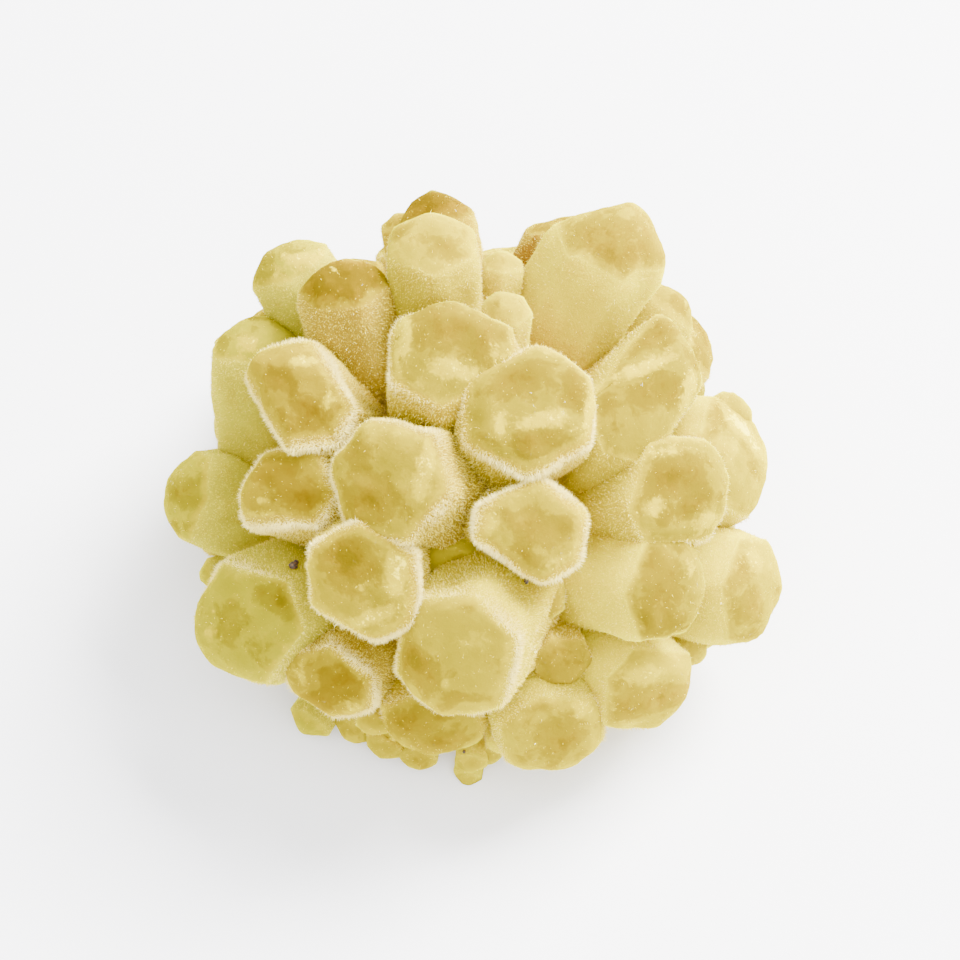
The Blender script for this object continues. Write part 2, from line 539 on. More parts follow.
def share(values: np.ndarray, radius: float) -> np.ndarray:
    """Gives the share that each row has in blend_max, from 0 to 1."""
    weight = np.exp((values - values.max(axis=0)) / radius)
    return weight / weight.sum(axis=0)


@dataclass(frozen=True)
class Seat:
    """Where a crystal stands in the frame: its end, its axis and its first side, in unit vectors."""

    end: np.ndarray
    axis: np.ndarray
    first: np.ndarray

    @property
    def second(self) -> np.ndarray:
        """The direction square to the axis and to the first side."""
        return np.cross(self.axis, self.first)

    @property
    def turn(self) -> np.ndarray:
        """The matrix that turns the crystal's own directions into the frame's."""
        return np.array((self.first, self.second, self.axis)).T


@dataclass(frozen=True)
class Grain:
    """How finely a crystal is meshed.

    along: fractions of each side at which it has points.
    end, faces: fractions of the way out over the end, and over the faces round it, with a ring at each.
    down: how many rings its body has.
    """

    along: tuple[float, ...]
    end: tuple[float, ...]
    faces: tuple[float, ...]
    down: int


def near_edges(count: int, near: float) -> tuple[float, ...]:
    """Spaces fractions evenly, with one more close to each end.

    Args:
        count: how many lie between the two close ones.
        near: how close those are.

    Returns:
        Fractions from 0 up to, but without, 1.
    """
    between = [near + (1 - 2 * near) * (i + 1) / (count + 1) for i in range(count)]
    return (0.0, near, *between, 1 - near)


FINE = Grain(near_edges(8, 0.035), near_edges(7, 0.04), near_edges(3, 0.08), 15)
MIDDLING = Grain(near_edges(4, 0.05), near_edges(3, 0.06), near_edges(1, 0.12), 9)
COARSE = Grain(near_edges(1, 0.1), near_edges(1, 0.1), (0.0, 0.5), 4)


@dataclass(frozen=True)
class Zones:
    """What the finishes need to know about each point of a crystal, in millimetres.

    inward: how far it lies inside the sides.
    below: how far it lies below the end and the faces round it.
    """

    inward: np.ndarray
    below: np.ndarray


class CrystalForm:
    """One crystal's weathered surface: its planes, eased where they meet, and roughened."""

    stout = 5.0  # a crystal whose nearest side lies this far from its axis is roughened in full
    bare_inset = 0.12  # how far inside the solid's a smooth face starts
    coat_inset = 0.32  # how much further in a side starts that is thick with needles
    plump = 0.10  # how far every face then stands out again
    refill = 0.5  # how much more for each millimetre of ease, which draws the faces in
    lip_height, lip_width = 0.16, 0.8  # of the swelling along the rim
    margin, broadening = 0.2, 0.4  # how far in over an end needles stand, and how much more at a full rim
    thin, dense, strays = 0.12, 0.8, 0.004  # how thick they stand on sides, round the rim, and anywhere
    least_end = 0.12  # the end's least share of the way out to the sides
    crowding = 1.35  # how much closer together the body's rings lie near its shoulders
    first_ring, last_ring = 0.3, 0.4  # how far at most below the shoulders, and how far above the foot

    def __init__(self, crystal: Crystal, seat: Seat, look: Look, length: float) -> None:
        """Keeps the crystal's planes as unit normals and distances in its own frame."""
        self.crystal, self.seat, self.look, self.length = crystal, seat, look, length
        self.size = min(1.0, min(crystal.sides) / self.stout)
        slope = math.radians(crystal.slope)
        turns = np.radians(60 * np.arange(6))
        self.flat = np.stack([np.cos(turns), np.sin(turns), np.zeros(6)], axis=1)
        self.side_at = np.array(crystal.sides) - self.size * (self.bare_inset + self.coat_inset * look.fuzz)
        self.steep = self.flat * math.sin(slope) + np.array((0, 0, math.cos(slope)))
        distance = np.array(crystal.sides)
        cap = crystal.cap if crystal.cap else distance * math.tan(slope) - crystal.peak
        self.steep_at = distance * math.sin(slope) - cap * math.cos(slope) - self.size * self.bare_inset
        lean, towards = crystal.lean
        leaning = seat.turn.T @ square_to(show_axes() @ turned(towards), seat.axis)
        self.top = np.array((0, 0, 1)) * math.cos(math.radians(lean)) + leaning * math.sin(math.radians(lean))
        self.top_at = -self.size * self.bare_inset

    def outline(self, along: tuple[float, ...]) -> np.ndarray:
        """Walks round the crystal's sides.

        Args:
            along: fractions of each side to stop at.

        Returns:
            One point (x, y) for each stop.
        """
        corners: list[np.ndarray] = []
        for i in range(6):
            for j in range(i + 1, 6):
                pair = self.flat[[i, j], :2]
                if abs(np.linalg.det(pair)) > 0.1:  # not parallel
                    corner = np.linalg.solve(pair, self.side_at[[i, j]])
                    if (self.flat[:, :2] @ corner <= self.side_at + 1e-6).all():
                        corners.append(corner)
        corners.sort(key=lambda corner: math.atan2(corner[1], corner[0]))
        stops = []
        for first, second in zip(corners, corners[1:] + corners[:1]):
            if np.linalg.norm(second - first) > 0.05:  # not too short to hold any
                stops += [first + (second - first) * fraction for fraction in along]
        return np.array(stops)

    def heights(self, level: np.ndarray) -> tuple[np.ndarray, np.ndarray]:
        """Gives the height of the end's plane, and of the lowest face round it, over level points."""
        top = (self.top_at - level @ self.top[:2]) / self.top[2]
        steep = ((self.steep_at[:, None] - self.steep[:, :2] @ level.T) / self.steep[:, 2:3]).min(axis=0)
        return top, steep

    def rings(self, grain: Grain) -> tuple[np.ndarray, int]:
        """Places the mesh's points: the middle of the end, rings out over it, and rings down the sides.

        Args:
            grain: how finely the crystal is meshed.

        Returns:
            The points, and how many are in each ring.
        """
        rim = self.outline(grain.along)
        middle = rim.mean(axis=0)
        low, high = np.zeros(len(rim)), np.ones(len(rim))
        for _ in range(24):  # halves its way to where the end meets the faces round it
            half = (low + high) / 2
            top, steep = self.heights(middle + (rim - middle) * half[:, None])
            low, high = np.where(top < steep, half, low), np.where(top < steep, high, half)
        edge = np.maximum(low, self.least_end)
        reaches = [edge * fraction for fraction in grain.end[1:]]
        reaches += [edge + (1 - edge) * fraction for fraction in grain.faces]
        reaches.append(np.ones(len(rim)))
        points = []
        for reach in (np.zeros(1), *reaches):
            level = middle + (rim - middle) * reach[:, None] if len(reach) > 1 else middle[None]
            points.append(np.column_stack([level, np.minimum(*self.heights(level))]))
        shoulder = points[-1][:, 2]
        drops = np.linspace(0, 1, grain.down + 1)[1:] ** self.crowding
        drops[0] = min(drops[0], self.first_ring / max(self.length, 1.0))
        for drop in drops:
            height = shoulder + (-self.length + self.last_ring - shoulder) * drop
            points.append(np.column_stack([rim, height]))
        return np.vstack(points), len(rim)

    def planes(self, points: np.ndarray) -> tuple[np.ndarray, np.ndarray]:
        """Measures how far points lie beyond each side, and beyond each face of the end."""
        sides = self.flat @ points.T - self.side_at[:, None]
        steep = self.steep @ points.T - self.steep_at[:, None]
        top = (self.top @ points.T)[None, :] - self.top_at
        return sides, np.vstack([steep, top])

    def zones(self, points: np.ndarray) -> Zones:
        """Works out where each point lies on the crystal."""
        sides, ends = self.planes(points)
        return Zones(-sides.max(axis=0), -ends.max(axis=0))

    def roughened(self, points: np.ndarray, zones: Zones) -> np.ndarray:
        """Eases the edges, and roughens the faces as slow-grown quartz is."""
        measured = np.vstack(self.planes(points))
        weights = share(measured, self.size * 0.25)
        facing = weights.T @ np.vstack([self.flat, self.steep, self.top[None]])
        facing /= np.linalg.norm(facing, axis=1)[:, None]
        eased = blend_max(measured, self.size * self.look.ease)
        placed = points @ self.seat.turn.T + self.seat.end
        bare = np.clip(1 - zones.below / 0.4, 0, 1)
        lift = np.empty(len(points))
        for i, (x, y, z) in enumerate(placed):
            slow = noise.noise((x * 0.16, y * 0.16, z * 0.16))
            quick = noise.noise((x * 0.7 + 9, y * 0.7, z * 0.7))
            melted = noise.noise((x * 0.35, y * 0.35 + 7, z * 0.35))
            on_end = 0.42 * melted + 0.14 * quick
            on_side = 0.55 * slow + 0.30 * melted + 0.18 * quick
            lift[i] = bare[i] * on_end + (1 - bare[i]) * on_side
        beside, under = (np.clip(1 - far / self.lip_width, 0, 1) for far in (zones.inward, zones.below))
        lip = self.lip_height * self.look.rim * beside * under
        given = self.plump + self.refill * self.look.ease
        return points + facing * (self.size * (lift + lip + given) - eased)[:, None]

    def build(self, name: str, grain: Grain) -> bpy.types.Mesh:
        """Makes the crystal's closed mesh, with its zones as attributes.

        Args:
            name: the mesh's name.
            grain: how finely it is meshed.

        Returns:
            The mesh, in millimetres, in the frame.
        """
        points, around = self.rings(grain)
        zones = self.zones(points)
        foot = np.array([[*points[-around:, :2].mean(axis=0), -self.length]])
        shaped = np.vstack([self.roughened(points, zones), foot]) @ self.seat.turn.T + self.seat.end
        rings = (len(points) - 1) // around
        faces: list[tuple[int, ...]] = [(0, 1 + i, 1 + (i + 1) % around) for i in range(around)]
        for ring in range(rings - 1):
            a, b = 1 + ring * around, 1 + (ring + 1) * around
            faces += [(a + i, b + i, b + (i + 1) % around, a + (i + 1) % around) for i in range(around)]
        last, base = 1 + (rings - 1) * around, len(shaped) - 1
        faces += [(base, last + (i + 1) % around, last + i) for i in range(around)]
        mesh = bpy.data.meshes.new(name)
        mesh.from_pydata([tuple(p) for p in shaped], [], faces)
        self.mark(mesh, points, zones, self.rim_round(points))
        return mesh

    def rim_round(self, points: np.ndarray) -> np.ndarray:
        """Gives the strength of the white rim at each point: uneven, and broadest on one side."""
        turn, widening = self.look.band
        broad = self.seat.turn.T @ square_to(show_axes() @ turned(turn), self.seat.axis)
        level = points[:, :2] / np.maximum(np.linalg.norm(points[:, :2], axis=1), 1e-6)[:, None]
        towards = np.clip(level @ broad[:2], 0, 1) ** 1.5
        placed = points @ self.seat.turn.T + self.seat.end
        drift = np.array([noise.noise(Vector(p) * 0.3 + Vector((3, 0, 0))) for p in placed])
        return np.clip(self.look.rim * (1 + 1.1 * drift) + widening * towards * (1 + 0.6 * drift), 0, 2)

    def velvet(self, zone: np.ndarray, rim: np.ndarray) -> np.ndarray:
        """Works out how thick the needles stand, and how white.

        Args:
            zone: one row (inward, below, 0) for each point.
            rim: the strength of the white rim at each point.

        Returns:
            One row (thickness, frost, 0) for each point.
        """
        inward, below = zone[:, 0], zone[:, 1]
        lip = np.clip(1 - inward / (self.margin + self.broadening * rim), 0, 1) * np.clip(1 - below, 0, 1)
        side = np.clip(1 - inward / self.margin, 0, 1) if self.look.faced else np.ones(len(zone))
        white = np.clip(rim, 0, 1) * lip
        thick = self.look.fuzz * (self.thin * side + self.dense * white) + self.strays
        return np.stack([thick, white, np.zeros(len(zone))], axis=1)

    def patched(self, points: np.ndarray) -> np.ndarray:
        """Gives how strongly each kind of patch shows at each point: one row (core, veil, stain) for each."""
        seen = points @ self.seat.turn.T @ show_axes()
        shown = np.zeros((len(points), len(Mark)))
        for patch in self.look.patches:
            column = patch.mark.value
            shown[:, column] = np.maximum(shown[:, column], patch.over(seen[:, 0], seen[:, 1]))
        return shown

    def mark(self, mesh: bpy.types.Mesh, points: np.ndarray, zones: Zones, rim: np.ndarray) -> None:
        """Writes what the finishes read to each corner of the mesh."""
        corners = np.zeros(len(mesh.loops), dtype=np.int32)
        mesh.loops.foreach_get("vertex_index", corners)
        zone = np.stack([zones.inward, zones.below, np.zeros(len(points))], axis=1)
        zone = np.vstack([zone, zone[-1:]])
        rim = np.append(rim, rim[-1])
        patches = self.patched(points)
        look, count = self.look, len(zone)
        milk, coated = np.full(count, look.milk), np.full(count, 0.0 if look.faced else 1.0)
        values = {
            "zone": zone,
            "trim": np.stack([rim, milk, coated], axis=1),
            "tint": np.tile(look.tint.value, (count, 1)),
            "body": np.tile(look.body.value, (count, 1)),
            "patch": np.vstack([patches, patches[-1:]]),
            "velvet": self.velvet(zone, rim),
        }
        for name, rows in values.items():
            write_corners(mesh, name, rows[corners])


class Value:
    """A number that a node gives, written into formulas with the usual signs."""

    def __init__(self, graph: Graph, socket: bpy.types.NodeSocket) -> None:
        """Wraps an output socket of the graph."""
        self.graph, self.socket = graph, socket

    def _with(self, operation: str, *others: object) -> Value:
        """Adds a Math node that has this value first."""
        return self.graph.math(operation, self, *others)

    def __add__(self, other: object) -> Value:
        """Adds."""
        return self._with("ADD", other)

    __radd__ = __add__

    def __sub__(self, other: object) -> Value:
        """Subtracts."""
        return self._with("SUBTRACT", other)

    def __rsub__(self, other: object) -> Value:
        """Subtracts from a number."""
        return self.graph.math("SUBTRACT", other, self)

    def __mul__(self, other: object) -> Value:
        """Multiplies."""
        return self._with("MULTIPLY", other)

    __rmul__ = __mul__

    def __truediv__(self, other: object) -> Value:
        """Divides."""
        return self._with("DIVIDE", other)

    def __pow__(self, other: object) -> Value:
        """Raises to a power."""
        return self._with("POWER", other)

    def clamped(self) -> Value:
        """Holds the value between 0 and 1."""
        return self.graph.math("MINIMUM", self.graph.math("MAXIMUM", self, 0.0), 1.0)

    def rise(self, low: float, high: float) -> Value:
        """Rises smoothly from 0 at low to 1 at high, or falls if high is the lower."""
        return self.graph.rise(self, low, high)


class Graph:
    """A node tree that is being written."""

    def __init__(self, tree: bpy.types.NodeTree) -> None:
        """Starts the tree empty."""
        self.tree = tree
        self.tree.nodes.clear()

    def plug(self, socket: bpy.types.NodeSocket, value: object) -> None:
        """Links a value to a socket, or sets it as a plain number."""
        if isinstance(value, Value):
            value = value.socket
        if isinstance(value, bpy.types.NodeSocket):
            self.tree.links.new(value, socket)
        elif value is not None:
            if getattr(socket, "type", "") == "RGBA" and len(value) == 3:
                value = (*value, 1.0)
            socket.default_value = value

    def node(
        self, kind: str, inputs: dict[str | int, object] | None = None, **settings: object
    ) -> bpy.types.Node:
        """Adds a node.

        Args:
            kind: the node's type.
            inputs: values or links, by socket name or number.
            settings: the node's own settings, made first.

        Returns:
            The node.
        """
        made = self.tree.nodes.new(kind)
        for name, value in settings.items():
            setattr(made, name, value)
        for name, value in (inputs or {}).items():
            self.plug(made.inputs[name], value)
        return made

    def value(self, node: bpy.types.Node, output: str | int = 0) -> Value:
        """Gives one output of a node."""
        return Value(self, node.outputs[output])

    def math(self, operation: str, *values: object) -> Value:
        """Adds a Math node on these values."""
        return self.value(self.node("ShaderNodeMath", dict(enumerate(values)), operation=operation))

    def rise(self, value: Value, low: float, high: float) -> Value:
        """Adds a smooth step from 0 to 1."""
        if low > high:
            return 1 - self.rise(value, high, low)
        inputs = {"Value": value, "From Min": low, "From Max": high}
        return self.value(self.node("ShaderNodeMapRange", inputs, interpolation_type="SMOOTHSTEP"))

    def noise(self, place: Value, scale: float, detail: float = 2.0, rough: float = 0.5) -> Value:
        """Adds noise, from 0 to 1, of so many waves a millimetre."""
        inputs = {"Vector": place, "Scale": scale, "Detail": detail, "Roughness": rough}
        return self.value(self.node("ShaderNodeTexNoise", inputs), "Fac")

    def drift(self, place: Value, scale: float, detail: float = 2.0, rough: float = 0.5) -> Value:
        """Adds noise of the same kind about 0, from -0.5 to 0.5."""
        return self.noise(place, scale, detail, rough) - 0.5

    def blend(self, factor: object, first: object, second: object, way: str = "MIX") -> Value:
        """Adds a Mix node on two colours."""
        made = self.node("ShaderNodeMix", data_type="RGBA", blend_type=way, clamp_factor=True)
        for socket, value in ((made.inputs[0], factor), (made.inputs[6], first), (made.inputs[7], second)):
            self.plug(socket, value)
        return self.value(made, 2)

    def tinted(self, factor: object, colour: Value, by: Colour) -> Value:
        """Multiplies a colour by another, as far as the factor says."""
        return self.blend(factor, colour, self.blend(1.0, colour, by, "MULTIPLY"))

    def parts(self, vector: object) -> tuple[Value, Value, Value]:
        """Splits a vector into its three numbers."""
        made = self.node("ShaderNodeSeparateXYZ", {0: vector})
        return self.value(made, 0), self.value(made, 1), self.value(made, 2)

    def vector(self, operation: str, **inputs: object) -> Value:
        """Adds a Vector Math node.

        Args:
            operation: what it does.
            inputs: first and second are its vectors, and Scale is its number.

        Returns:
            The distance, where it measures one, and otherwise its vector.
        """
        sockets = {"first": 0, "second": 1}
        plugged = {sockets.get(name, name): value for name, value in inputs.items()}
        made = self.node("ShaderNodeVectorMath", plugged, operation=operation)
        return self.value(made, "Value" if operation == "DISTANCE" else "Vector")

    def bump(self, height: Value, strength: float, distance: float) -> Value:
        """Adds a Bump node, its distance in metres."""
        return self.value(
            self.node("ShaderNodeBump", {"Height": height, "Strength": strength, "Distance": distance})
        )

    def shader(self, inputs: dict[str | int, object]) -> Value:
        """Adds a Principled BSDF node."""
        return self.value(self.node("ShaderNodeBsdfPrincipled", inputs))

    def attribute(self, name: str) -> Value:
        """Reads an attribute of the mesh as a vector."""
        return self.value(self.node("ShaderNodeAttribute", attribute_name=name), "Vector")


class Finish:
    """A material that is written as a graph."""

    name = "finish"

    def material(self) -> bpy.types.Material:
        """Makes the material and writes its graph."""
        made = bpy.data.materials.new(self.name)
        made.use_nodes = True
        graph = Graph(made.node_tree)
        output = graph.node("ShaderNodeOutputMaterial")
        graph.plug(output.inputs["Surface"], self.surface(graph))
        return made

    def surface(self, graph: Graph) -> Value:
        """Writes the surface shader."""
        raise NotImplementedError

    @staticmethod
    def place(graph: Graph) -> Value:
        """Gives the place on the object, in millimetres."""
        coordinates = graph.value(graph.node("ShaderNodeTexCoord"), "Object")
        return graph.vector("SCALE", first=coordinates, Scale=1 / MM)

    @staticmethod
    def from_heart(graph: Graph, place: Value) -> Value:
        """Gives the distance from the heart, in millimetres."""
        return graph.vector("DISTANCE", first=place, second=tuple(HEART))


@dataclass(frozen=True)
class QuartzFinish(Finish):
    """Bare glassy ends with yellow phantoms inside, and the druse-coated sides.

    milk: the milky veils.
    phantom, ember, amber: what a crystal's tint is multiplied by, the last two where the phantom is deepest.
    gold: what the sides' colour is multiplied by, well below the end.
    druse: the sides close to the heart.
    frost: flecks, and the frosted rims.
    stain: iron stain.
    """

    name: str = "yellow_phantom_quartz"
    milk: Colour = (0.40, 0.310, 0.0)
    phantom: Colour = (0.74, 0.690, 0.4)
    ember: Colour = (0.87, 0.77, 0.4)
    amber: Colour = (0.70, 0.74, 0.2)
    gold: Colour = (0.96, 0.83, 0.6)
    druse: Colour = (0.42, 0.262, 0.002)
    frost: Colour = (0.90, 0.74, 0.03)
    stain: Colour = (0.16, 0.072, 0.006)

    def surface(self, graph: Graph) -> Value:
        """Mixes the bare shader and the coat shader."""
        place = self.place(graph)
        inward, below, _ = graph.parts(graph.attribute("zone"))
        rim, milk, capped = graph.parts(graph.attribute("trim"))
        core, veil, stain = graph.parts(graph.attribute("patch"))
        ragged = graph.noise(place, 1.3, 2.0)
        edge = rim * (0.3 + 0.8 * ragged)
        bare = (inward - edge).rise(-0.3, 0.5) * below.rise(0.7, 0.2) * (1 - capped)
        border = (inward - edge).rise(2.2, 0.1)
        lip = rim * inward.rise(0.9, 0.1) * below.rise(1.0, 0.1)
        shader = graph.node("ShaderNodeMixShader", {0: bare})
        graph.plug(shader.inputs[1], self.coat(graph, place, below, lip, stain))
        graph.plug(shader.inputs[2], self.bare(graph, place, (core, veil, stain), milk, border))
        return graph.value(shader)

    def bare(
        self, graph: Graph, place: Value, patch: tuple[Value, Value, Value], milk: Value, border: Value
    ) -> Value:
        """Writes the shader of the glassy ends."""
        core, veil, stain = patch
        cloud = graph.drift(place, 0.22, 3.0, 0.55)
        wisp = graph.drift(self.bent(graph, place), 0.45, 4.0, 0.62)
        grain = graph.drift(place, 1.6, 2.0, 0.6)
        depth = core * 0.75 + cloud * 1.2 + wisp * 1.0
        colour = graph.attribute("tint")
        colour = graph.tinted((depth + grain * 0.2).rise(0.04, 0.34), colour, self.phantom)
        colour = graph.tinted((depth + wisp * 0.9 + grain * 0.2).rise(0.45, 0.95) * 0.8, colour, self.ember)
        colour = graph.tinted((depth + grain * 0.5 + wisp * 0.6).rise(0.70, 1.20), colour, self.amber)
        halo = depth.rise(0.02, 0.10) * depth.rise(0.22, 0.12)
        haze = veil + wisp * 1.3 + grain * 0.5 - core * 0.3
        swirl = (wisp * 1.3 + grain * 0.4 - cloud * 0.6).rise(0.12, 0.34)
        fringe = (border + wisp * 1.6 + grain * 0.6).rise(0.55, 1.1) * (0.35 + milk * 0.4)
        white = haze.rise(0.30, 0.72) + swirl * milk * 0.8 + fringe + halo * milk * 0.3
        colour = graph.blend(white.clamped(), colour, self.milk)
        frosted = (haze + grain * 1.4).rise(0.95, 1.35) * 0.7
        colour = graph.blend(frosted, colour, self.frost)
        colour = graph.blend((stain + grain * 0.6).rise(0.35, 0.7) * 0.8, colour, self.stain)
        fleck = (graph.noise(place, 3.0, 1.0) + veil * 0.10 + border * 0.05 - 0.5).rise(0.24, 0.32)
        colour = graph.blend(fleck * 0.5, colour, self.frost)
        relief = graph.noise(place, 0.9, 3.0, 0.6) + graph.noise(place, 3.0, 1.0) * 0.2
        bump = graph.bump(relief, 0.3, 0.0005)
        roughness = 0.2 + graph.noise(place, 0.7) * 0.3
        gloss = haze.rise(1.05, 1.35) * 0.4 + graph.drift(place, 1.8).rise(0.17, 0.24) * 0.5
        return self.principled(graph, colour, roughness, bump, gloss)

    @staticmethod
    def bent(graph: Graph, place: Value) -> Value:
        """Bends the place by a millimetre or two, so that a pattern on it swirls."""
        inputs = {"Vector": place, "Scale": 0.3, "Detail": 2.0}
        drift = graph.value(graph.node("ShaderNodeTexNoise", inputs), "Color")
        level = graph.vector("SUBTRACT", first=drift, second=(0.5, 0.5, 0.5))
        return graph.vector("ADD", first=place, second=graph.vector("SCALE", first=level, Scale=7.0))

    def coat(self, graph: Graph, place: Value, below: Value, lip: Value, stain: Value) -> Value:
        """Writes the shader of the druse on the sides."""
        patch = graph.drift(place, 0.16, 3.0)
        reach = self.from_heart(graph, place) + patch * 8
        deep = reach.rise(38, 28)
        colour = graph.blend(deep * 0.5, graph.attribute("body"), self.druse)
        colour = graph.tinted((below + patch * 8).rise(3, 16) * 0.5, colour, self.gold)
        streak = graph.drift(self.bent(graph, place), 0.35, 3.0, 0.6)
        colour = graph.tinted((patch + streak).rise(0.0, 0.25) * 0.45, colour, self.ember)
        grain = graph.drift(place, 4.5, 2.0, 0.6)
        dust = grain.rise(0.02, 0.2) * (0.18 + below.rise(6, 0) * 0.3)
        colour = graph.blend(dust, colour, self.frost)
        frosted = lip * (graph.noise(place, 2.6, 2.0, 0.6) - 0.42).rise(0.0, 0.3) * 0.7
        colour = graph.blend(frosted.clamped(), colour, self.frost)
        colour = graph.blend((stain + grain * 0.8).rise(0.3, 0.7) * 0.8, colour, self.stain)
        height = grain + graph.drift(place, 1.1, 3.0, 0.6) * (1 + deep * 5)
        return self.principled(graph, colour, 0.45 - grain * 0.3, graph.bump(height, 0.6, 0.0005), 0.0)

    @staticmethod
    def principled(graph: Graph, colour: Value, roughness: object, normal: Value, gloss: object) -> Value:
        """Adds the quartz shader: light passes a few millimetres through it."""
        inputs = {
            "Base Color": colour,
            "Roughness": roughness,
            "IOR": 1.544,
            "Specular IOR Level": 0.0,
            "Normal": normal,
            "Subsurface Weight": 0.85,
            "Subsurface Radius": (1.0, 1.0, 0.4),
            "Subsurface Scale": 0.007,
            "Coat Weight": gloss,
            "Coat Roughness": 0.08,
        }
        return graph.shader(inputs)


@dataclass(frozen=True)
class NeedleFinish(Finish):
    """Fine quartz needles: pale, glossy and glinting.

    near, deep: far out from the heart, and close to it.
    white: round the rims, and here and there.
    """

    name: str = "needle_quartz"
    near: Colour = (0.78, 0.61, 0.01)
    deep: Colour = (0.62, 0.39, 0.008)
    white: Colour = (0.97, 0.86, 0.30)

    def surface(self, graph: Graph) -> Value:
        """Writes the needles' shader."""
        place = self.place(graph)
        far = self.from_heart(graph, place) + graph.drift(place, 0.16, 3.0) * 9
        shade, rim, _ = graph.parts(graph.attribute("needle"))
        colour = graph.blend(far.rise(27, 40), self.deep, self.near)
        colour = graph.blend((shade * 0.3 + rim * 0.8).clamped(), colour, self.white)
        inputs = {
            "Base Color": colour,
            "Roughness": 0.12 + shade * 0.3,
            "IOR": 1.544,
            "Specular IOR Level": 0.3,
            "Coat Weight": (shade - 0.75).rise(0.0, 0.15),
            "Coat Roughness": 0.05,
        }
        return graph.shader(inputs)


@dataclass(frozen=True)
class GrainFinish(Finish):
    """Dark grains of iron mineral caught in the druse."""

    name: str = "dark_mineral"
    dark: Colour = (0.025, 0.018, 0.012)
    rust: Colour = (0.16, 0.075, 0.025)

    def surface(self, graph: Graph) -> Value:
        """Writes the grains' shader."""
        place = self.place(graph)
        fleck = graph.noise(place, 4.0, 3.0)
        inputs = {
            "Base Color": graph.blend(fleck.rise(0.45, 0.65), self.dark, self.rust),
            "Roughness": 0.35 + fleck * 0.3,
            "Normal": graph.bump(fleck, 0.6, 0.0002),
        }
        return graph.shader(inputs)


@dataclass(frozen=True)
class FloorFinish(Finish):
    """Matt pale surface that the cluster stands on."""

    name: str = "pale_floor"
    colour: Colour = (0.86, 0.86, 0.885)
    other: Colour = (0.84, 0.845, 0.86)

    def surface(self, graph: Graph) -> Value:
        """Writes the floor's shader."""
        place = self.place(graph)
        drift = graph.noise(place, 0.01, 1.0)
        colour = graph.blend(drift * 0.05, self.colour, self.other)
        inputs = {"Base Color": colour, "Roughness": 0.85, "Emission Color": colour, "Emission Strength": 0.2}
        return graph.shader(inputs)


def finished(made: bpy.types.Object) -> bpy.types.Object:
    """Declares a piece to the frame: it rides on the body and stands for the solid."""
    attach(made, BODY)
    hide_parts(NODE)
    LOG.info("%s: %d faces", made.name, len(made.data.polygons))
    return made


def link(mesh: bpy.types.Mesh, name: str) -> bpy.types.Object:
    """Makes an object of a mesh and puts it in the scene."""
    made = bpy.data.objects.new(name, mesh)
    bpy.context.scene.collection.objects.link(made)
    return made


def evaluated_mesh(made: bpy.types.Object) -> bpy.types.Mesh:
    """Gives an object's mesh with its modifiers applied."""
    depsgraph = bpy.context.evaluated_depsgraph_get()
    seen = made.evaluated_get(depsgraph)
    return bpy.data.meshes.new_from_object(seen, preserve_all_data_layers=True, depsgraph=depsgraph)


